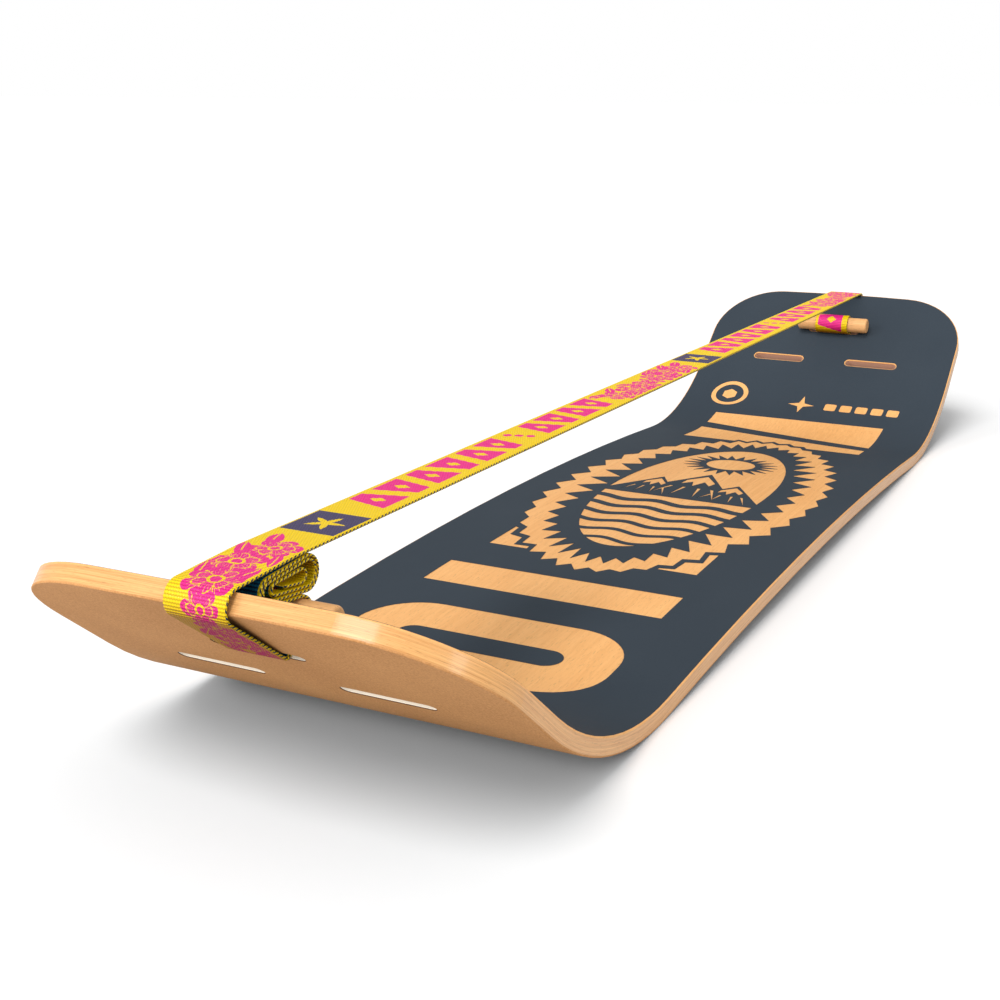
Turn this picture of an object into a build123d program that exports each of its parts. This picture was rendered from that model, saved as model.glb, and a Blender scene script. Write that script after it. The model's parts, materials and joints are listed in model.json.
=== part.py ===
from build123d import *
from math import asin, atan2, cos, hypot, pi, radians, sin
import os

# A slackline balance board: a bent plywood deck with two raised noses, a printed face, and a
# webbing line stretched from nose to nose. Each end of the line passes under its nose, up
# through the outer slot and round a loose dowel. The spare webbing is rolled up beside the
# dowel at the -X end. Millimetres; the origin is on the floor under the deck's centre, +X
# runs along the board, +Z is up. "Near" is the -X end, with the roll; "far" is the +X end.

# Deck shape, measured on its upper surface from the centre out to each end
BOARD_WIDTH = 380.0
CAMBER_RADIUS = 7500.0
CAMBER_HALF_LENGTH = 470.0
BEND_RADIUS = 315.0
NOSE_ANGLE = radians(38.5)
NOSE_LENGTH = 160.0
NOSE_CORNER_RADIUS = 95.0
NOSE_EDGE_BOW = 6.0

# Deck lay-up
VENEER_COUNT = 11
VENEER_THICKNESS = 1.4
GLUE_LINE = 0.02
EDGE_ROUNDING = 0.9
PRINT_THICKNESS = 0.3
PRINT_INSET = 1.3

# Slots, as distances from the nose's end along its slope
SLOT_LENGTH = 76.0
SLOT_WIDTH = 11.0
OUTER_SLOT_SETBACK = 78.0
INNER_SLOT_SETBACK = 143.0
INNER_SLOT_OFFSET = 71.0

# Webbing and dowels
WEB_WIDTH = 50.0
WEB_THICKNESS = 2.6
WEB_CLEARANCE = 0.45
WEB_CUT_GAP = 0.5
DOWEL_DIAMETER = 22.0
DOWEL_LENGTH = 106.0
DOWEL_STANDOFF = 14.0
DOWEL_END_ROUNDING = 3.0

# The line over the deck: level setbacks and rises from a nose's end edge
CREST_SETBACK = 70.0
CREST_RISE = 5.0
CREST_RADIUS = 300.0
NEAR_HINGE_SETBACK = 110.0
FAR_HINGE_SETBACK = 11.0
FAR_HINGE_RISE = 2.0

# The strap's turns round a nose, as distances down its slope and off its face
NOSE_WRAP_SETBACK = 7.0
NOSE_WRAP_RADIUS = 12.4
SLOT_TURN_RADIUS = 3.5
NEAR_SLOT_TURN_DROP = 14.0
FAR_SLOT_TURN_DROP = 16.6
FAR_LAP_LENGTH = 45.0

# The rolled-up spare webbing: an oval coil wound between a large end and a small one. Each half
# turn is given by how many layers it lies inside the outermost, and by its place from the large
# end, 0, to the small end, 1.
ROLL_SETBACK = 78.5
ROLL_DROP = 10.4
ROLL_RADIUS = 12.2
ROLL_TIP_SETBACK = 34.0
ROLL_TIP_DROP = 11.0
ROLL_TIP_RADIUS = 9.6
ROLL_PITCH = 2.95
ROLL_HALF_TURNS = ((0.0, 1.0), (0.0, 0.0), (1.0, 1.0), (1.0, 0.0), (2.0, 0.85), (2.4, 0.15))
ROLL_END_SETBACK = 52.0
ROLL_END_DROP = 12.5
ROLL_JOINT_RUN = 6.0

# Printed pattern, in plan; a station is a distance along the deck's surface from the centre
BAR_HALF_SPAN = 125.0
LINK_STATION = -441.0
LINK_SIZE = (140.0, 260.0)
LINK_ROUNDING = 60.0
LINK_SLOT_LENGTH = 164.0
LINK_SLOT_WIDTH = 32.0
NEAR_BARS = ((-289.0, 58.0, BAR_HALF_SPAN), (-160.0, 70.0, BAR_HALF_SPAN - 10))
FAR_BARS = ((427.0, 461.0, 427.0, 506.0), (484.0, 572.0, 530.0, 570.0))
RING_STATION = 626.0
RING_Y = 122.0
RING_RADII = (28.0, 21.0, 11.5)
MARK_STATION = 616.0
STAR_Y = 8.0
STAR_RADII = (20.0, 6.0)
MARK_SIZE = (16.0, 17.0)
MARK_ROUNDING = 3.0
MARK_START_Y = -36.0
MARK_PITCH = 23.0
MARK_COUNT = 5
EMBLEM_CENTRE = 105.0
EMBLEM_HALF_LENGTH = 338.0
EMBLEM_HALF_WIDTH = 156.0
EMBLEM_TEETH = 44
EMBLEM_MARGIN = 10.0
EMBLEM_RIM = 27.0
RIM_TOOTH = 17.0
FIELD_TOOTH = 32.0
SCENE_HALF_LENGTH = 252.0
SCENE_HALF_WIDTH = 92.0
SUN_X = 260.0
SUN_RADII = (60.0, 37.0, 31.0)
SUN_RAYS = 22
MOUNTAIN_FOOT = 60.0
MOUNTAINS = ((150.0, -47.0, 54.0), (152.0, 50.0, 50.0), (192.0, 2.0, 72.0))
SNOW_TOP = 0.1
SNOW_LEANS = (-0.8, -0.5, -0.25, 0.05, 0.3, 0.55, 0.8)
SNOW_DOWNS = (0.34, 0.46, 0.33, 0.52, 0.36, 0.47, 0.31)
GULLY_LEANS = (-0.62, -0.24, 0.2, 0.58)
GULLY_SPREAD = 0.05
GULLY_DOWNS = (0.58, 0.93)
WAVE_COUNT = 6
WAVE_DROP = 28.0
WAVE_PITCH = 32.0
WAVE_WIDTH = 13.0
WAVE_HEIGHT = 5.0
WAVE_LENGTH = 69.0
WAVE_STEPS = 24

# Values worked out from those above
DECK_THICKNESS = VENEER_COUNT * VENEER_THICKNESS + (VENEER_COUNT - 1) * GLUE_LINE
CAMBER_ANGLE = CAMBER_HALF_LENGTH / CAMBER_RADIUS
BEND_LENGTH = BEND_RADIUS * (CAMBER_ANGLE + NOSE_ANGLE)
NOSE_START = CAMBER_HALF_LENGTH + BEND_LENGTH
DECK_HALF_LENGTH = NOSE_START + NOSE_LENGTH
BEND_CENTRE_X = (CAMBER_RADIUS + BEND_RADIUS) * sin(CAMBER_ANGLE)
BEND_CENTRE_Z = BEND_RADIUS + DECK_THICKNESS
CAMBER_CENTRE_Z = BEND_CENTRE_Z - (CAMBER_RADIUS + BEND_RADIUS) * cos(CAMBER_ANGLE)
WEB_OFFSET = WEB_CLEARANCE + WEB_THICKNESS / 2
DOWEL_WRAP = DOWEL_DIAMETER / 2 + WEB_OFFSET


def deck_point(distance, depth=0.0):
    """(x, z) at a distance along the upper surface from the centre, and a depth below it."""
    side = -1 if distance < 0 else 1
    along = abs(distance)
    if along <= CAMBER_HALF_LENGTH:
        angle = along / CAMBER_RADIUS
        radius = CAMBER_RADIUS - depth
        return side * radius * sin(angle), CAMBER_CENTRE_Z + radius * cos(angle)
    angle = min((along - CAMBER_HALF_LENGTH) / BEND_RADIUS - CAMBER_ANGLE, NOSE_ANGLE)
    radius = BEND_RADIUS + depth
    straight = max(along - NOSE_START, 0.0)
    x = BEND_CENTRE_X + radius * sin(angle) + straight * cos(angle)
    z = BEND_CENTRE_Z - radius * cos(angle) + straight * sin(angle)
    return side * x, z


def surface_line(depth, half_length):
    """The deck's long section at one depth, drawn from the near end to the far end."""
    stations = [-half_length, -NOSE_START, -CAMBER_HALF_LENGTH, CAMBER_HALF_LENGTH, NOSE_START, half_length]
    ends = [deck_point(station, depth) for station in stations]
    bend_middle = (CAMBER_HALF_LENGTH + NOSE_START) / 2
    Line(ends[0], ends[1])
    ThreePointArc(ends[1], deck_point(-bend_middle, depth), ends[2])
    ThreePointArc(ends[2], deck_point(0, depth), ends[3])
    ThreePointArc(ends[3], deck_point(bend_middle, depth), ends[4])
    Line(ends[4], ends[5])


def deck_section(top_depth, bottom_depth, half_length=DECK_HALF_LENGTH):
    """A closed long section of the deck between two depths."""
    surface_line(top_depth, half_length)
    surface_line(bottom_depth, half_length)
    for end in (-half_length, half_length):
        Line(deck_point(end, top_depth), deck_point(end, bottom_depth))


TIP_X, TIP_Z = deck_point(DECK_HALF_LENGTH)


def nose_face(side):
    """The plane of a nose's upper face: its origin is at the end edge, x runs down the slope."""
    down_slope = (-side * cos(NOSE_ANGLE), 0, -sin(NOSE_ANGLE))
    upward = (-side * sin(NOSE_ANGLE), 0, cos(NOSE_ANGLE))
    return Plane(origin=(side * TIP_X, 0, TIP_Z), x_dir=down_slope, z_dir=upward)


def nose_section(side):
    """The upright plane along a nose: x runs down the slope from its end, y stands off its face."""
    down_slope = (-side * cos(NOSE_ANGLE), 0, -sin(NOSE_ANGLE))
    return Plane(origin=(side * TIP_X, 0, TIP_Z), x_dir=down_slope, z_dir=(0, side, 0))


def from_tip(setback, rise):
    """Turns a level setback and an upright rise from a nose's end into nose_section x and y."""
    along = setback * cos(NOSE_ANGLE) - rise * sin(NOSE_ANGLE)
    off = setback * sin(NOSE_ANGLE) + rise * cos(NOSE_ANGLE)
    return along, off


def touch(centre, radius, heading):
    """The point where a strap running at a heading touches a pulley, on the pulley's right."""
    return centre[0] + radius * sin(heading), centre[1] - radius * cos(heading)


def heading_between(first, second):
    """The heading of the straight strap between two pulleys, each given as (centre, radius)."""
    (start, start_radius), (stop, stop_radius) = first, second
    run_x, run_y = stop[0] - start[0], stop[1] - start[1]
    return atan2(run_y, run_x) - asin((stop_radius - start_radius) / hypot(run_x, run_y))


def point_on_run(first, second, distance):
    """The point at a distance along the straight strap from the first of two pulleys."""
    heading = heading_between(first, second)
    x, y = touch(*first, heading)
    return x + distance * cos(heading), y + distance * sin(heading)


def strap(*pulleys):
    """Draws a taut strap's centreline round pulleys given as (centre, radius).

    The radius is positive where the strap turns left and negative where it turns right. The
    first and last entries are the strap's ends, with radius 0.
    """
    headings = [heading_between(first, second) for first, second in zip(pulleys, pulleys[1:])]
    for index, heading in enumerate(headings):
        Line(touch(*pulleys[index], heading), touch(*pulleys[index + 1], heading))
    for (centre, radius), before, after in zip(pulleys[1:], headings, headings[1:]):
        turn = (after - before) % (2 * pi) if radius > 0 else -((before - after) % (2 * pi))
        ends = touch(centre, radius, before), touch(centre, radius, after)
        ThreePointArc(ends[0], touch(centre, radius, before + turn / 2), ends[1])


def save(part, name):
    """Labels a finished piece and writes it as its own STEP file."""
    part.label = name
    export_step(part, f"parts/{name}.step")


os.makedirs("parts", exist_ok=True)

# ---------------------------------------------------------------- deck


def nose_outline(inset):
    """Draws a nose's plan on its own face: straight sides and a shallowly bowed end edge."""
    side = BOARD_WIDTH / 2 - inset
    shoulder = NOSE_EDGE_BOW + inset
    ThreePointArc((shoulder, side), (inset, 0), (shoulder, -side))
    Polyline((shoulder, -side), (NOSE_LENGTH, -side), (NOSE_LENGTH, side), (shoulder, side))


def nose_cutters(inset=0.0):
    """What is cut from both noses: the waste outside their rounded corners, and their slots."""
    slot_places = [
        (OUTER_SLOT_SETBACK, 0),
        (INNER_SLOT_SETBACK, INNER_SLOT_OFFSET),
        (INNER_SLOT_SETBACK, -INNER_SLOT_OFFSET),
    ]
    with BuildPart() as cutters:
        for side in (-1, 1):
            with BuildSketch(nose_face(side)):
                Rectangle(2 * NOSE_LENGTH, 1.5 * BOARD_WIDTH)
                with BuildSketch(mode=Mode.SUBTRACT) as outline:
                    with BuildLine():
                        nose_outline(inset)
                    make_face()
                    end_corners = outline.vertices().sort_by(Axis.X)[:2]
                    fillet(end_corners, NOSE_CORNER_RADIUS - inset)
                with Locations(*slot_places):
                    SlotOverall(SLOT_LENGTH + 2 * inset, SLOT_WIDTH + 2 * inset, rotation=90)
            extrude(amount=2 * DECK_THICKNESS, both=True)
    return cutters.part


def is_on_surface(point, depth):
    """Whether a point of the deck lies on its surface at one depth, found from its plan place."""
    low, high = 0.0, DECK_HALF_LENGTH
    for _ in range(40):
        middle = (low + high) / 2
        if deck_point(middle, depth)[0] < abs(point.X):
            low = middle
        else:
            high = middle
    return abs(deck_point(low, depth)[1] - point.Z) < 0.05


def rim_edges(builder, depth):
    """The edges of a veneer's outer outline and slots, where it meets its surface at one depth."""
    across = builder.edges().filter_by(Axis.Y)
    seams = [edge for edge in across if edge.length > BOARD_WIDTH - 1]
    return [
        edge
        for edge in builder.edges()
        if edge not in seams and is_on_surface(edge @ 0.5, depth) and is_on_surface(edge @ 0.1, depth)
    ]


deck_cutters = nose_cutters()

veneer_names = ["face_veneer"]
veneer_names += [f"core_veneer_{number}" for number in range(1, VENEER_COUNT - 1)]
veneer_names += ["base_veneer"]

for layer, veneer_name in enumerate(veneer_names):
    veneer_top = layer * (VENEER_THICKNESS + GLUE_LINE)
    with BuildPart() as veneer:
        with BuildSketch(Plane.XZ):
            with BuildLine():
                deck_section(veneer_top, veneer_top + VENEER_THICKNESS)
            make_face()
        extrude(amount=BOARD_WIDTH / 2, both=True)
        add(deck_cutters, mode=Mode.SUBTRACT)
        if veneer_name == "face_veneer":
            fillet(rim_edges(veneer, 0.0), EDGE_ROUNDING)
        if veneer_name == "base_veneer":
            fillet(rim_edges(veneer, DECK_THICKNESS), EDGE_ROUNDING)
    save(veneer.part, veneer_name)

# ---------------------------------------------------------------- printed face


def plan_x(distance):
    """The level distance from the centre to a place at a distance along the deck's surface."""
    return deck_point(distance)[0]


def jagged_oval(half_length, half_width, tooth):
    """The emblem's oval outline with pointed notches of gently varying depth."""
    points = []
    for index in range(2 * EMBLEM_TEETH):
        angle = pi * index / EMBLEM_TEETH
        depth = tooth * (0.75 + 0.25 * sin(5 * angle)) if index % 2 else 0.0
        x = EMBLEM_CENTRE + (half_length - depth) * cos(angle)
        points.append((x, (half_width - depth) * sin(angle)))
    return points


def star(x, y, tips, outer_radius, inner_radius):
    """A star outline, with its tips on one radius and the notches between them on another."""
    points = []
    for index in range(2 * tips):
        angle = pi * index / tips
        radius = inner_radius if index % 2 else outer_radius
        points.append((x + radius * cos(angle), y + radius * sin(angle)))
    return points


def wave_band(x, width):
    """A band of water with rippled sides, centred on a line across the board."""
    points = []
    for edge_x, direction in ((x + width / 2, 1), (x - width / 2, -1)):
        for step in range(-WAVE_STEPS, WAVE_STEPS + 1):
            y = direction * step * EMBLEM_HALF_WIDTH / WAVE_STEPS
            points.append((edge_x + WAVE_HEIGHT * sin(2 * pi * y / WAVE_LENGTH), y))
    return points


def on_flank(peak, down, lean):
    """A point on a mountain, as shares of its height down from the top and of its half width."""
    top_x, y, half_base = peak
    return top_x - down * (top_x - MOUNTAIN_FOOT), y + lean * down * half_base


def snow_cap(peak):
    """A snow cap that keeps inside its mountain and ends in a zigzag."""
    hem = [on_flank(peak, down, lean) for down, lean in zip(SNOW_DOWNS, SNOW_LEANS)]
    return [on_flank(peak, SNOW_TOP, 0)] + hem


def gully(peak, lean):
    """A long thin wedge of snow that runs down a mountain's flank."""
    top, foot = GULLY_DOWNS
    head = [on_flank(peak, top, lean - GULLY_SPREAD), on_flank(peak, top, lean + GULLY_SPREAD)]
    return head + [on_flank(peak, foot, lean)]


# Dark parts are cut away from the bare wood again, from the largest to the smallest
with BuildSketch() as bare_wood:
    # A rounded block with a slot in it, then two bars, across the near half
    with Locations((plan_x(LINK_STATION), 0)):
        RectangleRounded(*LINK_SIZE, LINK_ROUNDING)
        SlotOverall(LINK_SLOT_LENGTH, LINK_SLOT_WIDTH, rotation=90, mode=Mode.SUBTRACT)
    for station, width, half_span in NEAR_BARS:
        with Locations((plan_x(station), 0)):
            Rectangle(width, 2 * half_span)
    # Two tapered bars across the far half, with a leaning gap between them
    for right_low, right_high, left_low, left_high in FAR_BARS:
        with BuildLine():
            Polyline(
                (plan_x(right_low), -BAR_HALF_SPAN),
                (plan_x(right_high), -BAR_HALF_SPAN),
                (plan_x(left_high), BAR_HALF_SPAN),
                (plan_x(left_low), BAR_HALF_SPAN),
                close=True,
            )
        make_face()
    # A small ring, a star and a row of rounded marks beyond them
    with Locations((plan_x(RING_STATION), RING_Y)):
        Circle(RING_RADII[0])
        Circle(RING_RADII[1], mode=Mode.SUBTRACT)
        RegularPolygon(RING_RADII[2], 6)
    with BuildLine():
        Polyline(*star(plan_x(MARK_STATION), STAR_Y, 4, *STAR_RADII), close=True)
    make_face()
    marks = [(plan_x(MARK_STATION), MARK_START_Y - MARK_PITCH * index) for index in range(MARK_COUNT)]
    with Locations(*marks):
        RectangleRounded(*MARK_SIZE, MARK_ROUNDING)
    # The emblem's rim: a dark margin, a jagged bare oval and a dark field
    for growth, tooth, mode in (
        (EMBLEM_MARGIN, RIM_TOOTH, Mode.SUBTRACT),
        (0, RIM_TOOTH, Mode.ADD),
        (-EMBLEM_RIM, FIELD_TOOTH, Mode.SUBTRACT),
    ):
        with BuildLine():
            Polyline(*jagged_oval(EMBLEM_HALF_LENGTH + growth, EMBLEM_HALF_WIDTH + growth, tooth), close=True)
        make_face(mode=mode)

# The emblem's scene: a sun over three mountains and a lake, seen with its top towards +X
with BuildSketch() as emblem_scene:
    with Locations((EMBLEM_CENTRE, 0)):
        Ellipse(SCENE_HALF_LENGTH, SCENE_HALF_WIDTH)
    with BuildLine():
        Polyline(*star(SUN_X, 0, SUN_RAYS, *SUN_RADII[:2]), close=True)
    make_face(mode=Mode.SUBTRACT)
    with Locations((SUN_X, 0)):
        Circle(SUN_RADII[2])
    for index in range(WAVE_COUNT):
        with BuildLine():
            wave_x = MOUNTAIN_FOOT - WAVE_DROP - WAVE_PITCH * index
            Polyline(*wave_band(wave_x, WAVE_WIDTH - index), close=True)
        make_face(mode=Mode.SUBTRACT)
    for peak in MOUNTAINS:
        with BuildLine():
            Polyline(on_flank(peak, 1, -1), on_flank(peak, 0, 0), on_flank(peak, 1, 1), close=True)
        make_face(mode=Mode.SUBTRACT)
    for peak in MOUNTAINS:
        for outline in [snow_cap(peak)] + [gully(peak, lean) for lean in GULLY_LEANS]:
            with BuildLine():
                Polyline(*outline, close=True)
            make_face()

with BuildPart() as printed_face:
    with BuildSketch(Plane.XZ):
        with BuildLine():
            deck_section(-PRINT_THICKNESS, 0.0)
        make_face()
    extrude(amount=BOARD_WIDTH / 2 - PRINT_INSET, both=True)
    add(nose_cutters(PRINT_INSET), mode=Mode.SUBTRACT)
    extrude(bare_wood.sketch + emblem_scene.sketch, amount=2 * TIP_Z, mode=Mode.SUBTRACT)
save(printed_face.part, "printed_face")

# ---------------------------------------------------------------- dowels

SLOT_NEAR_EDGE = OUTER_SLOT_SETBACK - SLOT_WIDTH / 2
SLOT_FAR_EDGE = OUTER_SLOT_SETBACK + SLOT_WIDTH / 2

for side, dowel_name in ((-1, "near_dowel"), (1, "far_dowel")):
    with BuildPart() as dowel:
        with BuildSketch(nose_section(side)):
            with Locations((OUTER_SLOT_SETBACK, DOWEL_STANDOFF)):
                Circle(DOWEL_DIAMETER / 2)
        extrude(amount=DOWEL_LENGTH / 2, both=True)
        fillet(dowel.edges().filter_by(GeomType.CIRCLE), DOWEL_END_ROUNDING)
    save(dowel.part, dowel_name)

# ---------------------------------------------------------------- webbing


def line_point(x):
    """A point of the line's centreline over the deck, between the roll's crest and the far nose."""
    start_x, start_z = CREST_SETBACK - TIP_X, TIP_Z + CREST_RISE
    stop_x, stop_z = TIP_X - FAR_HINGE_SETBACK, TIP_Z + FAR_HINGE_RISE
    return x, start_z + (stop_z - start_z) * (x - start_x) / (stop_x - start_x)


near_hinge_x = NEAR_HINGE_SETBACK - TIP_X
far_hinge_x = TIP_X - FAR_HINGE_SETBACK
middle_x = (near_hinge_x + far_hinge_x) / 2
cut = WEB_CUT_GAP / 2

for ends, span_name in (
    ((near_hinge_x + cut, middle_x - cut), "webbing_near_span"),
    ((middle_x + cut, far_hinge_x - cut), "webbing_far_span"),
):
    with BuildPart() as span:
        with BuildSketch(Plane.XZ):
            with BuildLine():
                Line(line_point(ends[0]), line_point(ends[1]))
            trace(line_width=WEB_THICKNESS)
        extrude(amount=WEB_WIDTH / 2, both=True)
    save(span.part, span_name)

# Every turn of the strap, as (centre, radius) in a nose section
nose_turn = ((NOSE_WRAP_SETBACK, -DECK_THICKNESS / 2), NOSE_WRAP_RADIUS)
dowel_turn = ((OUTER_SLOT_SETBACK, DOWEL_STANDOFF), DOWEL_WRAP)
slot_lip_turn = ((SLOT_FAR_EDGE, 0), -WEB_OFFSET)
slot_entry_setback = SLOT_FAR_EDGE - WEB_OFFSET - SLOT_TURN_RADIUS
crest_turn = (from_tip(CREST_SETBACK, CREST_RISE - CREST_RADIUS), CREST_RADIUS)
roll_centre = from_tip(ROLL_SETBACK, -ROLL_DROP)
roll_tip = from_tip(ROLL_TIP_SETBACK, -ROLL_TIP_DROP)
roll_tip_turn = (roll_tip, -ROLL_TIP_RADIUS)
roll_joint = point_on_run(dowel_turn, roll_tip_turn, ROLL_JOINT_RUN)
roll_start = point_on_run(dowel_turn, roll_tip_turn, ROLL_JOINT_RUN + WEB_CUT_GAP)

near_start_x, near_start_z = line_point(near_hinge_x - cut)
with BuildPart() as near_wrap:
    with BuildSketch(nose_section(-1)):
        with BuildLine():
            strap(
                (from_tip(near_start_x + TIP_X, near_start_z - TIP_Z), 0),
                crest_turn,
                nose_turn,
                ((slot_entry_setback, -NEAR_SLOT_TURN_DROP), SLOT_TURN_RADIUS),
                slot_lip_turn,
                dowel_turn,
                (roll_joint, 0),
            )
        trace(line_width=WEB_THICKNESS)
    extrude(amount=WEB_WIDTH / 2, both=True)
save(near_wrap.part, "webbing_near_wrap")


def roll_turn(layer, share):
    """A half turn of the roll, with its layer and its share of the way to the small end."""
    centre = tuple(large + (small - large) * share for large, small in zip(roll_centre, roll_tip))
    radius = ROLL_RADIUS - layer * ROLL_PITCH - (ROLL_RADIUS - ROLL_TIP_RADIUS) * share
    return centre, -radius


roll_turns = [roll_turn(*half_turn) for half_turn in ROLL_HALF_TURNS]
roll_end = from_tip(ROLL_END_SETBACK, -ROLL_END_DROP)

with BuildPart() as roll:
    with BuildSketch(nose_section(-1)):
        with BuildLine():
            strap((roll_start, 0), *roll_turns, (roll_end, 0))
        trace(line_width=WEB_THICKNESS)
    extrude(amount=WEB_WIDTH / 2, both=True)
save(roll.part, "webbing_roll")

far_start_x, far_start_z = line_point(far_hinge_x + cut)
lap_end = (SLOT_NEAR_EDGE - FAR_LAP_LENGTH, -DECK_THICKNESS - WEB_OFFSET)
with BuildPart() as far_loop:
    with BuildSketch(nose_section(1)):
        with BuildLine():
            strap(
                (from_tip(TIP_X - far_start_x, far_start_z - TIP_Z), 0),
                nose_turn,
                ((slot_entry_setback, -FAR_SLOT_TURN_DROP), SLOT_TURN_RADIUS),
                slot_lip_turn,
                dowel_turn,
                ((SLOT_NEAR_EDGE, 0), -WEB_OFFSET),
                ((SLOT_NEAR_EDGE, -DECK_THICKNESS), -WEB_OFFSET),
                (lap_end, 0),
            )
        trace(line_width=WEB_THICKNESS)
    extrude(amount=WEB_WIDTH / 2, both=True)
save(far_loop.part, "webbing_far_loop")
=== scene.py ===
import bpy
import json
from math import cos, pi, radians, sin
from mathutils import Matrix, Vector
import numpy as np


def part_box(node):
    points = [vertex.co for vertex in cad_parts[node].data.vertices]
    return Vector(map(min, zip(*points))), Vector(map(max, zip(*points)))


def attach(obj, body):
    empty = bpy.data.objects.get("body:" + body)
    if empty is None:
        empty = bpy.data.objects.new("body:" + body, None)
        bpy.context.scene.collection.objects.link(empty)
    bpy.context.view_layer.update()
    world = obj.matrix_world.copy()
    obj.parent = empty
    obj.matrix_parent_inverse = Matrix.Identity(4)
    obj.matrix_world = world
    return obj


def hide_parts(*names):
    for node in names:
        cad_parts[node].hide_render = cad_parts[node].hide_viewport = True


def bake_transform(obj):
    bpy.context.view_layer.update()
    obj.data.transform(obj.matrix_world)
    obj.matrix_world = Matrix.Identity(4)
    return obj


# Looks for a slackline balance board. Metres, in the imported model's frame: +X along the board
# to its far end, +Y across it, +Z up. The near end, with the roll of webbing, is at -X.

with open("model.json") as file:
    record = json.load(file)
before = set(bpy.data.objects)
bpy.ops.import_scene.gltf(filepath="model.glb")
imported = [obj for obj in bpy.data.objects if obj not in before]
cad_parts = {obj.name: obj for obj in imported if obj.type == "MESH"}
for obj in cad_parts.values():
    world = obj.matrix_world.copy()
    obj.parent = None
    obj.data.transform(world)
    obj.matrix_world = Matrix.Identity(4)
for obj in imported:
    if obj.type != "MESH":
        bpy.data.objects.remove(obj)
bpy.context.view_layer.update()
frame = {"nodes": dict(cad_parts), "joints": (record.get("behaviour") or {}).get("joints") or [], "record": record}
nodes = frame["nodes"]
joints = {joint["name"]: joint for joint in frame["joints"]}
MM = 0.001

# ---------------------------------------------------------------- shader arithmetic


class Field:
    """A shader value that combines with numbers and other fields by ordinary arithmetic."""

    def __init__(self, tree, socket):
        self.tree = tree
        self.socket = socket

    def math(self, operation, *others):
        node = self.tree.nodes.new("ShaderNodeMath")
        node.operation = operation
        for slot, value in zip(node.inputs, (self, *others)):
            if isinstance(value, Field):
                self.tree.links.new(value.socket, slot)
            else:
                slot.default_value = value
        return Field(self.tree, node.outputs[0])

    def __add__(self, other):
        return self.math("ADD", other)

    def __sub__(self, other):
        return self.math("SUBTRACT", other)

    def __rsub__(self, number):
        return self * -1.0 + number

    def __mul__(self, other):
        return self.math("MULTIPLY", other)

    def __truediv__(self, other):
        return self.math("DIVIDE", other)

    def __gt__(self, other):
        return self.math("GREATER_THAN", other)

    def __lt__(self, other):
        return self.math("LESS_THAN", other)

    def abs(self):
        return self.math("ABSOLUTE")

    def sin(self):
        return self.math("SINE")

    def cos(self):
        return self.math("COSINE")

    def floor(self):
        return self.math("FLOOR")

    def power(self, exponent):
        return self.math("POWER", exponent)

    def both(self, other):
        return self.math("MINIMUM", other)

    def either(self, other):
        return self.math("MAXIMUM", other)

    def wrap(self, period):
        """The remainder after whole periods, from 0 to the period."""
        return self.math("FLOORED_MODULO", period)

    def between(self, low, high):
        return (self > low) * (self < high)

    def ramp(self, low, high):
        """0 below low, 1 above high and a smooth rise between."""
        node = self.tree.nodes.new("ShaderNodeMapRange")
        node.interpolation_type = "SMOOTHSTEP"
        self.tree.links.new(self.socket, node.inputs["Value"])
        node.inputs["From Min"].default_value = low
        node.inputs["From Max"].default_value = high
        return Field(self.tree, node.outputs["Result"])


def length_of(x, y):
    """The distance of a point from the origin, from its two coordinate fields."""
    return (x * x + y * y).math("SQRT")


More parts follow.
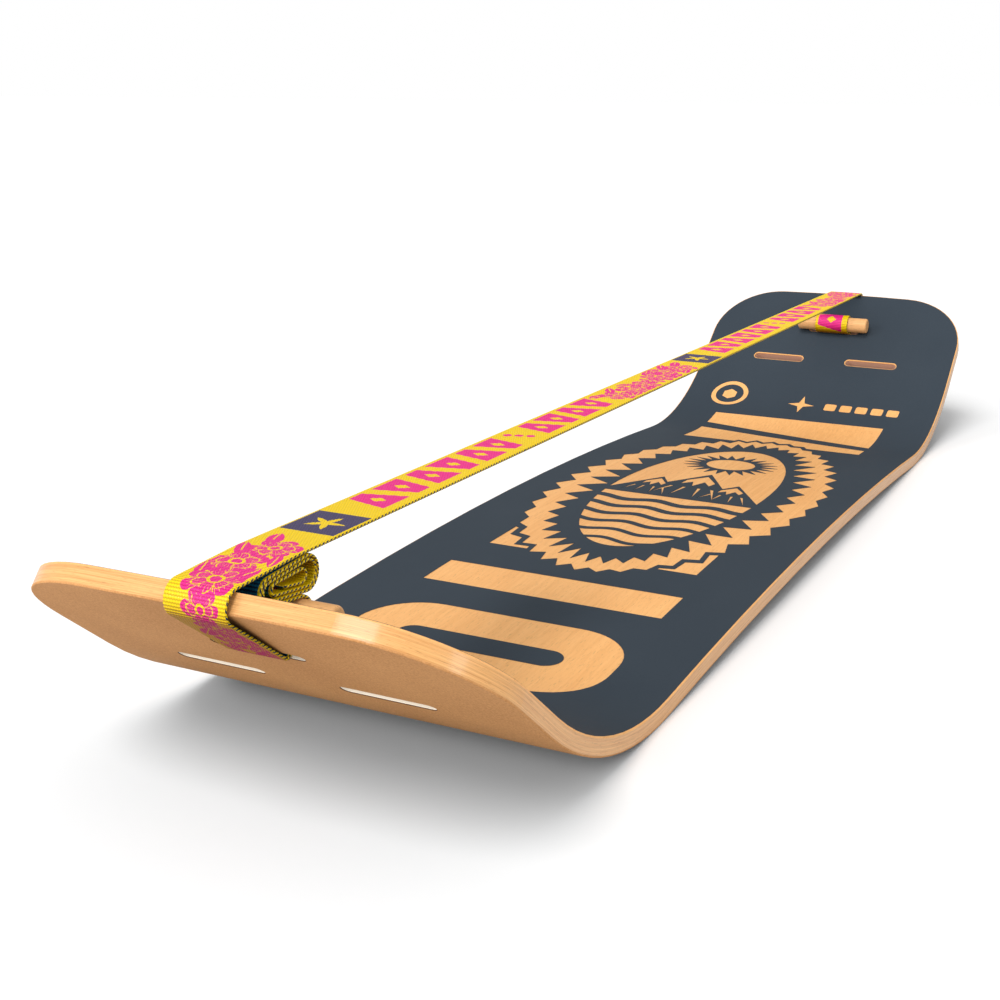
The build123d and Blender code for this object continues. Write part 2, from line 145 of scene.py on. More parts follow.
class Shader:
    """A material being built: its node tree, its coordinates and its one surface shader."""

    def __init__(self, name):
        self.material = bpy.data.materials.new(name)
        self.material.use_nodes = True
        self.tree = self.material.node_tree
        self.surface = self.tree.nodes["Principled BSDF"]

    def split(self, socket):
        """The three parts of a vector socket, as fields."""
        node = self.tree.nodes.new("ShaderNodeSeparateXYZ")
        self.tree.links.new(socket, node.inputs[0])
        return [Field(self.tree, output) for output in node.outputs]

    def place(self):
        """The point's place in the row frame, in metres, as three fields."""
        node = self.tree.nodes.new("ShaderNodeTexCoord")
        return self.split(node.outputs["Object"])

    def facing(self):
        """The three parts of the direction that the surface faces, as fields."""
        node = self.tree.nodes.new("ShaderNodeNewGeometry")
        return self.split(node.outputs["True Normal"])

    def attribute(self, name):
        node = self.tree.nodes.new("ShaderNodeAttribute")
        node.attribute_name = name
        return Field(self.tree, node.outputs["Fac"])

    def bounced(self):
        """1 where the surface is lit by way of another surface, else 0."""
        node = self.tree.nodes.new("ShaderNodeLightPath")
        return Field(self.tree, node.outputs["Is Diffuse Ray"])

    def vector(self, *parts):
        node = self.tree.nodes.new("ShaderNodeCombineXYZ")
        for slot, value in zip(node.inputs, parts):
            if isinstance(value, Field):
                self.tree.links.new(value.socket, slot)
            else:
                slot.default_value = value
        return node.outputs[0]

    def noise(self, vector, detail=2.0, roughness=0.5):
        """Noise from 0 to 1 that varies over about one unit of its vector."""
        node = self.tree.nodes.new("ShaderNodeTexNoise")
        node.inputs["Scale"].default_value = 1.0
        node.inputs["Detail"].default_value = detail
        node.inputs["Roughness"].default_value = roughness
        self.tree.links.new(vector, node.inputs["Vector"])
        return Field(self.tree, node.outputs["Fac"])

    def mix(self, factor, first, second, blend="MIX"):
        """A colour that goes from first to their blend, by default second, as the factor goes to 1."""
        node = self.tree.nodes.new("ShaderNodeMix")
        node.data_type = "RGBA"
        node.blend_type = blend
        factor_slot, first_slot, second_slot = (node.inputs[index] for index in (0, 6, 7))
        for slot, value in ((factor_slot, factor), (first_slot, first), (second_slot, second)):
            if isinstance(value, Field):
                self.tree.links.new(value.socket, slot)
            elif isinstance(value, bpy.types.NodeSocket):
                self.tree.links.new(value, slot)
            elif isinstance(value, (int, float)):
                slot.default_value = value
            else:
                slot.default_value = (*value, 1.0)
        return node.outputs[2]

    def set(self, **inputs):
        """Sets or links inputs of the surface shader; underscores stand for spaces."""
        for name, value in inputs.items():
            slot = self.surface.inputs[name.replace("_", " ")]
            if isinstance(value, Field):
                self.tree.links.new(value.socket, slot)
            elif isinstance(value, bpy.types.NodeSocket):
                self.tree.links.new(value, slot)
            else:
                slot.default_value = value

    def bump(self, height, distance, strength=1.0):
        """Surface relief from a height field of 0 to 1 that stands for a real distance."""
        node = self.tree.nodes.new("ShaderNodeBump")
        node.inputs["Distance"].default_value = distance
        node.inputs["Strength"].default_value = strength
        self.tree.links.new(height.socket, node.inputs["Height"])
        self.tree.links.new(node.outputs[0], self.surface.inputs["Normal"])


# ---------------------------------------------------------------- wood and print materials


# Beech grain: how many features there are in a metre along the grain, and across it
STREAKS = (9.0, 330.0)
TONES = (2.3, 14.0)
RAYS = (110.0, 1300.0)
FLECK_SHADE = 0.5


def shaded(colour, share):
    return [channel * share for channel in colour]


def wood(name, light, dark, along="X", fleck=0.5, figure=0.5):
    """Beech under satin lacquer: long soft streaks, short dark flecks and a slow change of tone."""
    shader = Shader(name)
    x, y, z = shader.place()
    long, side = (x, y) if along == "X" else (y, x)
    streak, tone, rays = (
        shader.noise(shader.vector(long * lengthways, side * across, z * across), detail=detail)
        for (lengthways, across), detail in ((STREAKS, 4.0), (TONES, 2.0), (RAYS, 2.0))
    )
    depth = (streak - 0.5) * (1.6 * figure) + (tone - 0.5) * (1.3 * figure) + 0.45
    colour = shader.mix(depth.ramp(0.0, 1.0), light, dark)
    colour = shader.mix(rays.ramp(0.58, 0.74) * fleck, colour, shaded(dark, FLECK_SHADE))
    shader.set(Base_Color=colour, Roughness=streak * 0.16 + 0.42)
    shader.set(Coat_Weight=0.04, Coat_Roughness=0.25, Specular_IOR_Level=0.25)
    shader.bump(streak * 0.5 + rays * 0.5, 0.12 * MM, 0.5)
    return shader.material


# The deck's upper surface: a cambered middle, a bend and a straight nose at each end. Metres.
CAMBER_RADIUS, CAMBER_HALF_LENGTH = 7.5, 0.47
BEND_RADIUS = 0.315
NOSE_SLOPE = radians(38.5)
DECK_THICKNESS = 0.0156
CAMBER_ANGLE = CAMBER_HALF_LENGTH / CAMBER_RADIUS
CAMBER_END_X = CAMBER_RADIUS * sin(CAMBER_ANGLE)
BEND_CENTRE_X = (CAMBER_RADIUS + BEND_RADIUS) * sin(CAMBER_ANGLE)
BEND_CENTRE_Z = BEND_RADIUS + DECK_THICKNESS
CAMBER_CENTRE_Z = BEND_CENTRE_Z - (CAMBER_RADIUS + BEND_RADIUS) * cos(CAMBER_ANGLE)
NOSE_START_X = BEND_CENTRE_X + BEND_RADIUS * sin(NOSE_SLOPE)
SLOT_HALF_SPAN = 0.15
SLOT_REACH = (0.62, 0.78)


def deck_depth(x, z):
    """How far a point lies below the deck's upper surface, square to it."""
    reach = x.abs()
    camber = CAMBER_RADIUS - length_of(reach, z - CAMBER_CENTRE_Z)
    bend_x, bend_z = reach - BEND_CENTRE_X, z - BEND_CENTRE_Z
    bend = length_of(bend_x, bend_z) - BEND_RADIUS
    nose = bend_x * sin(NOSE_SLOPE) - bend_z * cos(NOSE_SLOPE) - BEND_RADIUS
    past_camber = reach > CAMBER_END_X
    past_bend = reach > NOSE_START_X
    inner = camber * (1.0 - past_camber) + bend * past_camber
    return inner * (1.0 - past_bend) + nose * past_bend


def ply_edge(name, light, dark, seed):
    """A veneer's sanded and lacquered edge: fine dark lines that follow the lay-up."""
    shader = Shader(name)
    x, y, z = shader.place()
    depth = deck_depth(x, z)
    line = shader.noise(shader.vector(x * 16.0 + seed, y * 16.0, depth * 1500.0), detail=3.0, roughness=0.6)
    fleck = shader.noise(shader.vector(x * 150.0, y * 150.0 + seed, depth * 2600.0), detail=2.0)
    tone = shader.noise(shader.vector(x * 5.0 + seed, y * 5.0, depth * 90.0), detail=2.0)
    shade = (line - 0.5) * 2.0 + (tone - 0.5) * 0.8 + 0.40
    colour = shader.mix(shade.ramp(0.0, 1.0), light, dark)
    colour = shader.mix(fleck.ramp(0.6, 0.74) * 0.55, colour, shaded(dark, FLECK_SHADE))
    # The near slots' walls are painted pale cream as painted light, as if brightly lit, and the far slots' walls
    # tan
    in_slot = y.abs().between(0.0, SLOT_HALF_SPAN).both(x.abs() < SLOT_REACH[1])
    colour = shader.mix(in_slot.both(x < 0.0), colour, SLOT_LIT_CREAM)
    colour = shader.mix(in_slot.both(x > 0.0), colour, SLOT_TAN)
    shader.set(Base_Color=colour, Roughness=line * 0.14 + 0.3)
    shader.set(Coat_Weight=0.5, Coat_Roughness=0.14, Specular_IOR_Level=0.2)
    shader.bump(line, 0.06 * MM, 0.4)
    return shader.material


def underside(name, light, dark):
    """The plain, finely speckled veneer under the deck."""
    shader = Shader(name)
    x, y, z = shader.place()
    speck = shader.noise(shader.vector(x * 620.0, y * 620.0, z * 620.0), detail=3.0, roughness=0.65)
    cloud = shader.noise(shader.vector(x * 7.0, y * 11.0, z * 11.0), detail=3.0)
    fibre = shader.noise(shader.vector(x * 160.0, y * 1300.0, z * 1300.0), detail=2.0)
    depth = (speck - 0.5) * 1.7 + (cloud - 0.5) * 0.7 + (fibre - 0.5) * 0.5 + 0.5
    colour = shader.mix(depth.ramp(0.0, 1.0), light, dark)
    # The slots get painted shade on their rounded rim and painted light, a pale cream, on their walls, which stand
    # square to the nose
    normal_x, _, normal_z = shader.facing()
    out_of_nose = normal_x * ((x < 0.0) * 2.0 - 1.0) * sin(NOSE_SLOPE) + normal_z * cos(NOSE_SLOPE)
    near_slot = (y.abs() < SLOT_HALF_SPAN).both(x.abs().between(*SLOT_REACH))
    colour = shader.mix(near_slot.both(out_of_nose.abs() < 0.96), colour, SLOT_RIM_SHADE)
    colour = shader.mix(near_slot.both(out_of_nose.abs() < 0.35), colour, SLOT_LIT_CREAM)
    # Light that it throws back on the floor is left neutral
    colour = shader.mix(shader.bounced(), colour, UNDERSIDE_BOUNCE)
    shader.set(Base_Color=colour, Roughness=speck * 0.12 + 0.6, Specular_IOR_Level=0.12)
    shader.bump(speck, 0.1 * MM, 0.5)
    return shader.material


def slate_print(name, colour, lighter):
    """The dark printed layer: matt slate ink with a fine tooth."""
    shader = Shader(name)
    x, y, z = shader.place()
    tooth = shader.noise(shader.vector(x * 700.0, y * 700.0, z * 700.0), detail=3.0, roughness=0.6)
    cloud = shader.noise(shader.vector(x * 5.0, y * 9.0, z * 9.0), detail=3.0)
    depth = (tooth - 0.5) * 0.8 + (cloud - 0.5) * 0.6 + 0.5
    base = shader.mix(depth.ramp(0.0, 1.0), colour, lighter)
    shader.set(Base_Color=base, Roughness=tooth * 0.14 + 0.55, Specular_IOR_Level=0.09)
    shader.bump(tooth, 0.05 * MM, 0.45)
    return shader.material


# Each wood's and ink's lighter and darker colour
BARE_WOOD = (0.92, 0.49, 0.18), (0.78, 0.37, 0.12)
EDGE_WOOD = (0.88, 0.48, 0.18), (0.62, 0.27, 0.08)
BASE_WOOD = (0.66, 0.33, 0.128), (0.47, 0.215, 0.075)
DOWEL_WOOD = (0.88, 0.48, 0.20), (0.62, 0.30, 0.11)
SLATE_INK = (0.031, 0.042, 0.055), (0.043, 0.056, 0.071)
# Slot colours: cream painted light for the near walls, tan for the far walls, and the rim's painted shade
SLOT_LIT_CREAM, SLOT_TAN, SLOT_RIM_SHADE = (1.0, 0.90, 0.76), (0.70, 0.42, 0.30), (0.10, 0.045, 0.02)
UNDERSIDE_BOUNCE = (0.12, 0.12, 0.12)

# ---------------------------------------------------------------- webbing material

# The woven pattern, in millimetres: s runs along the strap from the line's near hinge, and v runs
# across it from its middle. The pattern repeats along the line.
REPEAT = 786.0
BLOCK_TOP, BLOCK_FOOT = 20.5, -16.0
BLOCK_ROWS = ((76.0, 41.6, 6), (366.0, 41.0, 4))
DOTS_START, DOT_RADIUS, DOT_LEAN = 346.0, 4.2, 0.35
DOT_HEIGHTS = (-7.0, 3.0, 13.0)
PATCH_LENGTH = 51.0
STAR_RADIUS, STAR_TIPS, STAR_TURN = 16.0, 5, 0.3
PRINT_HALF_WIDTH, PATCH_HALF_WIDTH, SELVEDGE_START = 22.3, 22.4, 23.0
RIB_PITCH = 2.4
TICK_PITCH = 4.8
STITCH_PITCH = 2.2

YELLOW = (1.0, 0.70, 0.001)
# The dark yellow is painted shade for the rib valleys
YELLOW_PAINTED_SHADE = (0.56, 0.36, 0.001)
PINK = (0.93, 0.022, 0.27)
PURPLE = (0.050, 0.038, 0.095)
NAVY = (0.004, 0.022, 0.06)
TEAL = (0.008, 0.16, 0.28)
UNDER_NOSE_SHADE = (0.38, 0.22, 0.26)


def tapered_blocks(s, v, start, pitch, count):
    """A row of bold tapered blocks, turned end for end by turns, each with an open diamond in it."""
    run = (s - start) / pitch
    cell = run.floor()
    share = run - cell
    height = (v - BLOCK_FOOT) / (BLOCK_TOP - BLOCK_FOOT)
    turned = cell.wrap(2.0)
    height = height * (turned * -2.0 + 1.0) + turned
    off_axis = (share - 0.5).abs()
    block = (off_axis < height * -0.24 + 0.46).both(height.between(0.0, 1.0))
    diamond = off_axis * 1.5 + (height - 0.45).abs() < 0.2
    return block.both(1.0 - diamond).both(run.between(0.0, float(count)))


def blossom(s, v, x, y, radius, petals, turn=0.0):
    """A flower: lobed petals with open outlines, fine veins along them and an open centre."""
    dx, dy = s - x, v - y
    out = length_of(dx, dy) / radius
    angle = dy.math("ARCTAN2", dx) + turn
    lobe = (angle * (petals / 2.0)).cos().abs()
    body = out < lobe.power(0.55) * 0.42 + 0.56
    gap = ((angle * (petals / 2.0)).cos().abs() * out < 0.05).both(out > 0.28)
    ring = (out - (lobe.power(0.5) * 0.3 + 0.38)).abs() < 0.024
    vein = ((angle * (petals * 2.5)).sin().abs() < 0.13).both(out.between(0.36, 0.8))
    heart = out.between(0.17, 0.27)
    return body.both(1.0 - gap.either(ring).either(vein).either(heart))


def leaf(s, v, x, y, long, wide, turn):
    """A pointed leaf with an open midrib."""
    dx, dy = s - x, v - y
    along = (dx * cos(turn) + dy * sin(turn)) / long
    across = dy * cos(turn) - dx * sin(turn)
    half = (1.0 - along * along) * wide
    body = across.abs() < half
    rib = (across.abs() < 0.55).both(along > -0.8)
    return body.both(1.0 - rib)


def star_shape(dx, dy, radius, tips, turn):
    """A pointed star round the place where dx and dy are 0."""
    angle = (dy.math("ARCTAN2", dx) + turn).wrap(2 * pi / tips) - pi / tips
    notch = angle.abs() / (pi / tips)
    return length_of(dx, dy) < notch.power(1.6) * (radius * 0.72) + radius * 0.28


# Flowers as (s, v, radius, petals, turn) and leaves as (s, v, half length, half width, turn)
FLOWERS = (
    (560.0, -4.0, 20.0, 5, 0.3),
    (598.0, -6.0, 21.0, 6, 0.8),
    (630.0, -7.0, 18.0, 5, 0.0),
    (654.0, -5.0, 15.0, 6, 0.5),
    (681.0, -3.0, 23.0, 7, 0.4),
    (712.0, 4.0, 22.0, 5, 0.9),
    (744.0, -4.0, 20.0, 6, 0.2),
)
LEAVES = (
    (543.0, 12.0, 13.0, 5.6, -0.3),
    (579.0, 13.0, 14.0, 5.6, 0.5),
    (580.0, -18.0, 12.0, 4.6, 0.2),
    (617.0, 11.0, 13.0, 5.4, -0.6),
    (618.0, -19.0, 12.0, 4.2, 0.1),
    (694.0, 18.0, 12.0, 4.8, 0.3),
    (694.0, -17.0, 15.0, 5.4, -0.1),
    (724.0, -18.0, 12.0, 4.6, 0.2),
    (735.0, 16.0, 14.0, 5.6, 0.4),
    (762.0, 9.0, 15.0, 6.0, 0.3),
)


def woven_print(shader, s, v):
    """Masks of the pink pattern, the purple patch and the star on it, along the line's face.

    A fine noise frays every outline, and a slow one bends the flowers out of their regular shapes.
    """
    rough = shader.noise(shader.vector(s * 0.45, v * 0.45, 0.0), detail=2.0) - 0.5
    sway = shader.noise(shader.vector(s * 0.07, v * 0.07, 4.0), detail=1.0) - 0.5
    s = (s + rough * 1.4).wrap(REPEAT)
    v = v + rough * 1.2
    first_row, second_row = (tapered_blocks(s, v, *row) for row in BLOCK_ROWS)
    pink = first_row.either(second_row)
    for height in DOT_HEIGHTS:
        dot = length_of(s - (DOTS_START - height * DOT_LEAN), v - height) < DOT_RADIUS
        pink = pink.either(dot)
    patch = s.between(0.0, PATCH_LENGTH).both(v.abs() < PATCH_HALF_WIDTH)
    star = star_shape(s - PATCH_LENGTH / 2, v, STAR_RADIUS, STAR_TIPS, STAR_TURN)
    s, v = s + sway * 7.0, v + sway * 5.0
    for flower in FLOWERS:
        pink = pink.either(blossom(s, v, *flower))
    for blade in LEAVES:
        pink = pink.either(leaf(s, v, *blade))
    return pink.both(v.abs() < PRINT_HALF_WIDTH), patch, star


def webbing_material():
    """Woven polyester: printed face, navy back, ribs across it, thread colour by thread colour."""
    shader = Shader("webbing_weave")
    coordinates = shader.tree.nodes.new("ShaderNodeUVMap")
    coordinates.uv_map = "weave"
    s, v, _ = shader.split(coordinates.outputs[0])
    s, v = s * 1000.0, v * 1000.0
    back = shader.attribute("back")
    pink, patch, star = woven_print(shader, s, v)

    # Warp threads run along the line, and show as short stitches laid like bricks over the ribs
    rib = ((s * (2 * pi / RIB_PITCH)).cos() + 1.0) * 0.5
    row = (s / RIB_PITCH + 0.5).floor()
    warp = ((v * (2 * pi / STITCH_PITCH) + row * pi).cos() + 1.0) * 0.5
    fuzz = shader.noise(shader.vector(s * 1.6, v * 5.0, back * 9.0), detail=3.0)
    # The ribs get painted shade in their valleys and painted highlights on their tops and stitches, mixed with
    # random thread fuzz
    shade = (rib * 0.7 + warp * 0.3 + fuzz * 0.3).ramp(0.15, 1.0)

    yellow = shader.mix(shade, YELLOW_PAINTED_SHADE, YELLOW)
    pink_thread = shader.mix(shade, shaded(PINK, 0.55), PINK)
    colour = shader.mix(pink, yellow, pink_thread)
    purple_thread = shader.mix(shade * rib, shaded(PURPLE, 0.7), shaded(PURPLE, 1.7))
    colour = shader.mix(patch, colour, purple_thread)
    colour = shader.mix(patch.both(star), colour, yellow)

    # The back is navy between yellow selvedges, and a row of navy ticks runs along the edge
    # The back goes from navy to teal with the rib shading, a painted highlight on the rib tops, and with random
    # fuzz
    back_thread = shader.mix((shade * 0.6 + fuzz * 0.5).ramp(0.35, 0.95), NAVY, TEAL)
    back_mask = (back > 0.5).both(v.abs() < PATCH_HALF_WIDTH)
    colour = shader.mix(back_mask, colour, back_thread)
    tick = (s / TICK_PITCH + back).wrap(1.0).between(0.1, 0.52)
    edge_tick = back.between(0.2, 0.95).both(v.abs() > SELVEDGE_START).both(tick)
    colour = shader.mix(edge_tick, colour, NAVY)

    # The stretch under the nose, which faces down, is painted darker as painted shade
    normal_z = shader.facing()[2]
    facing_down = (normal_z * -1.0).ramp(0.0, 0.78).both(1.0 - back)
    colour = shader.mix(facing_down, colour, UNDER_NOSE_SHADE, blend="MULTIPLY")

    shader.set(Base_Color=colour, Roughness=fuzz * 0.2 + 0.3, Specular_IOR_Level=facing_down * -0.22 + 0.25)
    shader.set(Coat_Weight=(rib * warp) * 0.25, Coat_Roughness=0.12)
    shader.bump(warp * 0.5 + fuzz * 0.5, 0.3 * MM, 0.6)
    return shader.material


# ---------------------------------------------------------------- strap paths from the frame


def side_outline(node):
    """The closed outline of a strap's +Y side, as (x, z) points in order."""
    mesh = nodes[node].data
    low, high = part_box(node)
    ends = {}
    for polygon in mesh.polygons:
        corners = [mesh.vertices[index].co for index in polygon.vertices]
        if min(corner.y for corner in corners) < high.y - 0.01 * MM:
            continue
        keys = [(round(corner.x, 7), round(corner.z, 7)) for corner in corners]
        for first, second in zip(keys, keys[1:] + keys[:1]):
            if (second, first) in ends:
                del ends[(second, first)]
            else:
                ends[(first, second)] = True
    follow = dict(ends.keys())
    loop = [next(iter(follow))]
    while follow[loop[-1]] != loop[0]:
        loop.append(follow[loop[-1]])
    return np.array(loop)


def centreline(node, starts_near):
    """A strap's centreline as (x, z) points, from the end nearest to a point, and its thickness.

    The outline has two short square-cornered ends; the side between them is set in by half the
    strap's thickness.
    """
    loop = side_outline(node)
    count = len(loop)
    steps = np.roll(loop, -1, axis=0) - loop
    lengths = np.hypot(*steps.T)
    headings = steps / lengths[:, None]
    square = np.abs(np.sum(headings * np.roll(headings, 1, axis=0), axis=1)) < 0.2
    ends = [i for i in range(count) if square[i] and square[(i + 1) % count]]
    first, second = ends
    side = [loop[(first + 1 + i) % count] for i in range((second - first - 1) % count + 1)]
    side = np.array(side)
    thickness = lengths[first]
    inward = np.array([loop[first] - loop[(first + 1) % count], loop[(second + 1) % count] - loop[second]])
    inward /= np.linalg.norm(inward, axis=1)[:, None]
    heading = side[1:] - side[:-1]
    heading /= np.hypot(*heading.T)[:, None]
    turn = np.sign(np.cross(heading[0], inward[0]))
    normals = turn * np.stack([-heading[:, 1], heading[:, 0]], axis=1)
    offsets = np.vstack([normals[:1], normals[:-1] + normals[1:], normals[-1:]])
    offsets[1:-1] /= 1.0 + np.sum(normals[:-1] * normals[1:], axis=1)[:, None]
    points = side + offsets * thickness / 2
    if np.hypot(*(points[-1] - starts_near)) < np.hypot(*(points[0] - starts_near)):
        points = points[::-1]
    return points, thickness


def resample(points, step):
    """Evenly spaced points along a path, lightly smoothed, and the path's length."""
    along = np.concatenate([[0.0], np.cumsum(np.hypot(*(points[1:] - points[:-1]).T))])
    count = max(int(round(along[-1] / step)), 2)
    even = np.linspace(0.0, along[-1], count + 1)
    path = np.stack([np.interp(even, along, points[:, axis]) for axis in (0, 1)], axis=1)
    for _ in range(6):
        path[1:-1] = (path[:-2] + 2 * path[1:-1] + path[2:]) / 4
    return path, along[-1]


# ---------------------------------------------------------------- strap meshes

FACE_POINTS = 10
CAP_POINTS = 6
RIB_SAMPLES = 4
RIB_HEIGHT = 0.28 * MM
EDGE_RIPPLE = 0.4 * MM
EDGE_BAND = 1.6 * MM
TRIM = 0.04


def strap_section(half_width, half_thickness):
    """The strap's cross-section as (across, off, back) points: face, edge, back, edge."""
    section = []
    flat = half_width - half_thickness
    for index in range(FACE_POINTS):
        section.append((flat * (1 - 2 * index / (FACE_POINTS - 1)), half_thickness, 0.0))
    for index in range(1, CAP_POINTS):
        angle = pi * index / CAP_POINTS
        section.append((-flat - half_thickness * sin(angle), half_thickness * cos(angle), index / CAP_POINTS))
    for index in range(FACE_POINTS):
        section.append((flat * (2 * index / (FACE_POINTS - 1) - 1), -half_thickness, 1.0))
    for index in range(1, CAP_POINTS):
        angle = pi * index / CAP_POINTS
        across = flat + half_thickness * sin(angle)
        section.append((across, -half_thickness * cos(angle), 1.0 - index / CAP_POINTS))
    return np.array(section)


def build_strap(name, path, start, width, thickness, material, shrink=None):
    """A ribbed strap along a path of (x, z) points, its face on the path's left.

    start is the path's distance along the whole line, which places the woven pattern. shrink gives
    each path point a share by which the strap is thinned, and it is trimmed a little narrower there.
    """
    half_thickness = thickness / 2 - RIB_HEIGHT
    section = strap_section(width / 2 - EDGE_RIPPLE, half_thickness)
    heading = np.gradient(path, axis=0)
    heading /= np.hypot(*heading.T)[:, None]
    normal = np.stack([-heading[:, 1], heading[:, 0]], axis=1)
    step = np.hypot(*(path[1:] - path[:-1]).T)
    along = start + np.concatenate([[0.0], np.cumsum(step)])
    phase = along / (RIB_PITCH * MM) * 2 * pi
    shrink = np.zeros(len(path)) if shrink is None else shrink

    across, off, back = section.T
    sign = np.where(off >= 0, 1.0, -1.0)
    on_face = np.abs(off) / half_thickness
    ridge = 0.5 + 0.5 * np.cos(phase[:, None] + np.where(back > 0.5, pi, 0.0)[None, :])
    heights = off[None, :] + sign[None, :] * on_face[None, :] * RIB_HEIGHT * ridge
    heights *= (1 - shrink)[:, None]
    reach = np.maximum(np.abs(across) - (width / 2 - EDGE_BAND), 0.0) / EDGE_BAND
    widths = across[None, :] + np.sign(across)[None, :] * reach[None, :] * EDGE_RIPPLE * ridge
    widths *= (1 - TRIM * (shrink > 0))[:, None]

    count = len(section)
    points = np.empty((len(path), count, 3))
    points[:, :, 0] = path[:, :1] + normal[:, :1] * heights
    points[:, :, 1] = widths
    points[:, :, 2] = path[:, 1:] + normal[:, 1:] * heights

    faces = []
    for row in range(len(path) - 1):
        for column in range(count):
            other = (column + 1) % count
            base, ahead = row * count, (row + 1) * count
            faces.append((base + column, ahead + column, ahead + other, base + other))
    faces.append(tuple(range(count)))
    faces.append(tuple(range(len(path) * count - 1, (len(path) - 1) * count - 1, -1)))

    mesh = bpy.data.meshes.new(name)
    mesh.from_pydata(points.reshape(-1, 3).tolist(), [], faces)
    layer = mesh.uv_layers.new(name="weave")
    corner_vertex = np.empty(len(mesh.loops), dtype=np.int32)
    mesh.loops.foreach_get("vertex_index", corner_vertex)
    rows, columns = corner_vertex // count, corner_vertex % count
    weave = np.stack([along[rows], across[columns]], axis=1)
    layer.data.foreach_set("uv", weave.astype(np.float32).ravel())
    attribute = mesh.attributes.new("back", "FLOAT", "POINT")
    attribute.data.foreach_set("value", np.tile(back, len(path)).astype(np.float32))
    mesh.polygons.foreach_set("use_smooth", [True] * len(mesh.polygons))
    mesh.materials.append(material)
    strap = bpy.data.objects.new(name, mesh)
    bpy.context.scene.collection.objects.link(strap)
    return strap


webbing = webbing_material()
STEP = RIB_PITCH * MM / RIB_SAMPLES

near_hinge = Vector(joints["line_sag"]["pos_m"])
fold_hinge = Vector(joints["line_fold"]["pos_m"])
span_low, span_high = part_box("webbing_near_span")
strap_width = span_high.y - span_low.y
far_low, far_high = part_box("webbing_far_span")

span_start = np.array([near_hinge.x, near_hinge.z])
wrap_path, strap_thickness = centreline("webbing_near_wrap", span_start)
roll_path, _ = centreline("webbing_roll", wrap_path[-1])
far_path, _ = centreline("webbing_far_loop", np.array([far_high.x, far_low.z]))

# One strip from the roll's inner end, over the dowel, round the nose and out along the line
NEAR_REACH = 0.30
line_direction = np.array([fold_hinge.x - near_hinge.x, fold_hinge.z - near_hinge.z])
line_direction /= np.hypot(*line_direction)
near_points = np.vstack([roll_path[::-1], wrap_path[::-1], span_start + line_direction * NEAR_REACH])
near_strip, near_length = resample(near_points, STEP)
near_start = NEAR_REACH - near_length
near_piece = build_strap("webbing_near_end", near_strip, near_start, strap_width, strap_thickness, webbing)
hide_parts("webbing_near_wrap", "webbing_roll")
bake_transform(near_piece)

# The rest of the line, whose far end runs on as a thin tongue inside the far turn
TONGUE = 0.012
TONGUE_THINNING = 0.3
line_start = span_start + line_direction * NEAR_REACH
line_end = far_path[0]
line_points = np.vstack([line_start, line_end, line_end + line_direction * TONGUE])
line_strip, line_length = resample(line_points, STEP)
past_end = line_strip[:, 0] > line_end[0]
thinning = TONGUE_THINNING * past_end
line_piece = build_strap(
    "webbing_line", line_strip, NEAR_REACH, strap_width, strap_thickness, webbing, thinning
)
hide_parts("webbing_near_span", "webbing_far_span")
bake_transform(line_piece)

far_strip, _ = resample(far_path, STEP)
far_start = NEAR_REACH + line_length - TONGUE
far_piece = build_strap("webbing_far_end", far_strip, far_start, strap_width, strap_thickness, webbing)
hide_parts("webbing_far_loop")
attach(far_piece, "deck")

# ---------------------------------------------------------------- deck and dowels

veneer_names = [name for name in frame["record"]["behaviour"]["bodies"]["deck"] if "veneer" in name]


def paint(node, material):
    """Gives a carried-over CAD node its one material."""
    nodes[node].data.materials.clear()
    nodes[node].data.materials.append(material)


# Alternate core veneers are cut from slightly darker wood
DARKER_LAYER = 0.93

for layer, name in enumerate(veneer_names):
    if name == "face_veneer":
        paint(name, wood("face_beech", *BARE_WOOD, fleck=0.5, figure=0.6))
    elif name == "base_veneer":
        paint(name, underside("base_beech", *BASE_WOOD))
    else:
        light, dark = (shaded(colour, DARKER_LAYER if layer % 2 else 1.0) for colour in EDGE_WOOD)
        paint(name, ply_edge(f"edge_beech_{layer}", light, dark, seed=3.7 * layer))
paint("printed_face", slate_print("slate_print", *SLATE_INK))
dowel_beech = wood("dowel_beech", *DOWEL_WOOD, along="Y", fleck=0.8, figure=0.9)
for name in ("near_dowel", "far_dowel"):
    paint(name, dowel_beech)

# ---------------------------------------------------------------- floor, light and camera

FLOOR_HALF, FLOOR_GAP = 90.0, 0.1 * MM
# The floor's brightness for the light that it throws, and as the camera sees it
FLOOR_BOUNCE, FLOOR_SEEN = 0.75, 1.03
ROOM_LIGHT, ROOM_SEEN = 0.50, 1.0
# Each sun's name, direction, strength and spread in degrees
SUNS = (
    ("key", (-1.6, 0.3, 2.3), 1.6, 28.0),
    ("front", (-1.6, 1.5, 0.95), 0.8, 25.0),
    ("skim", (-2.2, -0.15, 1.1), 0.6, 20.0),
)
EYE = (-1.5116, -0.5619, 0.4845)
EYE_TURN, EYE_TILT, EYE_ROLL = radians(26.79 - 90.0), radians(90.0 - 15.45), radians(0.445)
EYE_LENS = 52.83


def seen_or_not(tree, unseen, seen):
    """Mixes two shaders: one for what the camera sees, the other for the light it throws."""
    path = tree.nodes.new("ShaderNodeLightPath")
    mix = tree.nodes.new("ShaderNodeMixShader")
    tree.links.new(path.outputs["Is Camera Ray"], mix.inputs[0])
    tree.links.new(unseen, mix.inputs[1])
    tree.links.new(seen, mix.inputs[2])
    return mix.outputs[0]


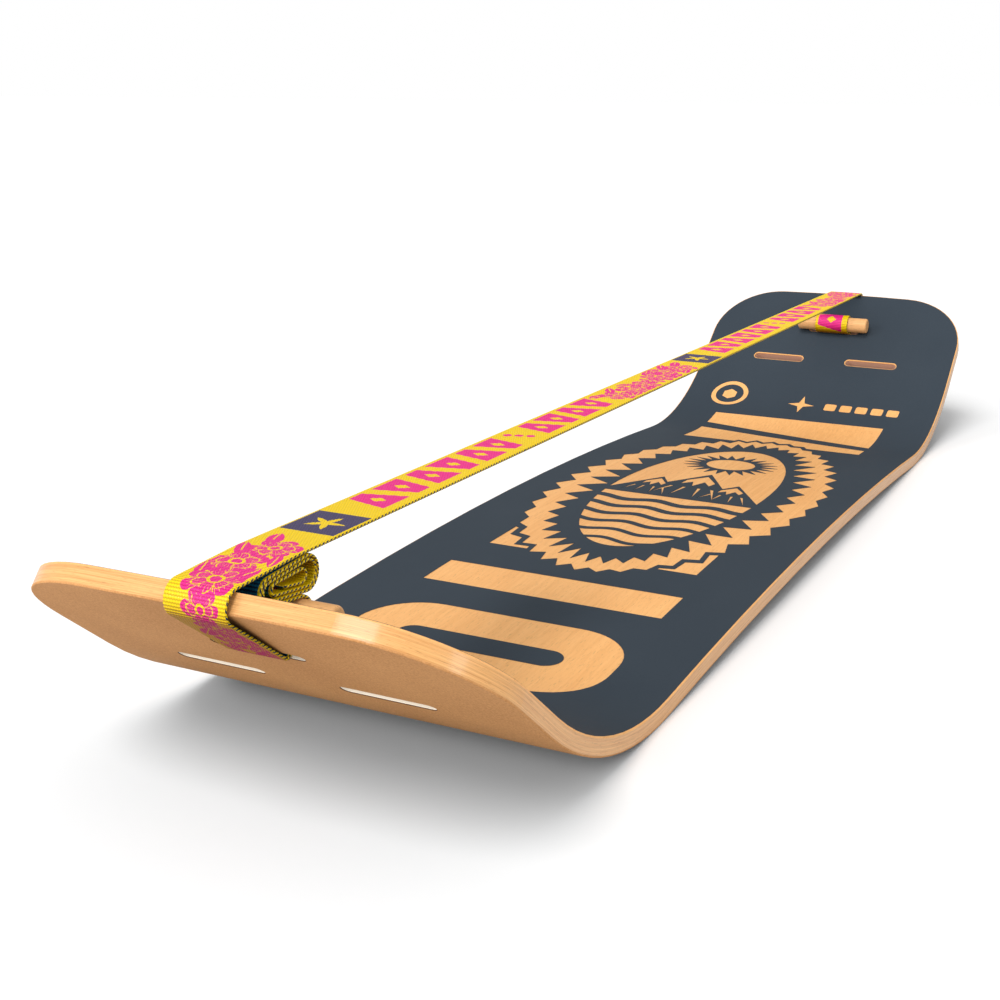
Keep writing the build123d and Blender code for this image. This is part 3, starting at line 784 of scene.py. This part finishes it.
def floor():
    """A plain white floor, just under the board, that runs out to the horizon."""
    mesh = bpy.data.meshes.new("floor")
    signs = ((-1, -1), (1, -1), (1, 1), (-1, 1))
    mesh.from_pydata([(x * FLOOR_HALF, y * FLOOR_HALF, 0) for x, y in signs], [], [(0, 1, 2, 3)])
    material = bpy.data.materials.new("white_floor")
    material.use_nodes = True
    tree = material.node_tree
    shades = []
    for brightness in (FLOOR_BOUNCE, FLOOR_SEEN):
        diffuse = tree.nodes.new("ShaderNodeBsdfDiffuse")
        diffuse.inputs["Color"].default_value = (brightness, brightness, brightness, 1.0)
        shades.append(diffuse.outputs[0])
    surface = seen_or_not(tree, *shades)
    tree.links.new(surface, tree.nodes["Material Output"].inputs["Surface"])
    mesh.materials.append(material)
    plane = bpy.data.objects.new("floor", mesh)
    plane.location.z = -FLOOR_GAP
    bpy.context.scene.collection.objects.link(plane)


def collection_of(name, things):
    collection = bpy.data.collections.new(name)
    for thing in things:
        collection.objects.link(thing)
    return collection


def lamp(name, kind, place, target, lit=None, shading=None, **settings):
    """A lamp aimed at a target, with the only things it lights and the only ones that shade it."""
    light = bpy.data.lights.new(name, kind)
    for setting, value in settings.items():
        setattr(light, setting, value)
    holder = bpy.data.objects.new(name, light)
    holder.location = place
    holder.rotation_mode = "QUATERNION"
    holder.rotation_quaternion = (Vector(target) - Vector(place)).to_track_quat("-Z", "Y")
    bpy.context.scene.collection.objects.link(holder)
    if lit:
        holder.light_linking.receiver_collection = collection_of(f"{name}_lit", lit)
    if shading:
        holder.light_linking.blocker_collection = collection_of(f"{name}_shading", shading)


def daylight():
    """An even white room, seen as pure white."""
    world = bpy.data.worlds.new("pale_room")
    world.use_nodes = True
    tree = world.node_tree
    backgrounds = []
    for level in (ROOM_LIGHT, ROOM_SEEN):
        background = tree.nodes.new("ShaderNodeBackground")
        background.inputs["Color"].default_value = (1.0, 1.0, 1.0, 1.0)
        background.inputs["Strength"].default_value = level
        backgrounds.append(background.outputs[0])
    surface = seen_or_not(tree, *backgrounds)
    tree.links.new(surface, tree.nodes["World Output"].inputs["Surface"])
    bpy.context.scene.world = world


def camera():
    """The camera: its place, and where it looks as a turn, a tilt down and a slight roll."""
    data = bpy.data.cameras.new("camera")
    data.sensor_width = 36.0
    data.lens = EYE_LENS
    data.clip_start = 0.05
    data.clip_end = 200.0
    turns = ((EYE_TURN, "Z"), (EYE_TILT, "X"), (EYE_ROLL, "Z"))
    turn, tilt, roll = (Matrix.Rotation(angle, 4, axis) for angle, axis in turns)
    eye = bpy.data.objects.new("camera", data)
    eye.matrix_world = Matrix.Translation(EYE) @ turn @ tilt @ roll
    bpy.context.scene.collection.objects.link(eye)
    bpy.context.scene.camera = eye


floor()
daylight()
deck_parts = [nodes[name] for name in veneer_names + ["printed_face"]]
dowels = [nodes["near_dowel"], nodes["far_dowel"]]
# The stretched line throws no shadow, so that none crosses the print
solid_shade = deck_parts + dowels + [near_piece, far_piece]
for name, place, strength, spread in SUNS:
    lamp(name, "SUN", place, (0, 0, 0), shading=solid_shade, energy=strength, angle=radians(spread))
fill = {"shape": "RECTANGLE", "size": 0.9, "size_y": 0.6}
lamp("low_fill", "AREA", (-1.9, 1.1, 0.3), (-0.75, 0.12, 0.1), lit=deck_parts, energy=5.5, **fill)
side_lit = deck_parts + dowels + [near_piece, line_piece, far_piece]
lamp("side_fill", "AREA", (-0.6, -1.8, 0.9), (-0.7, 0.0, 0.1), lit=side_lit, energy=8.0, **fill)
camera()
bpy.context.scene.view_settings.view_transform = "Standard"
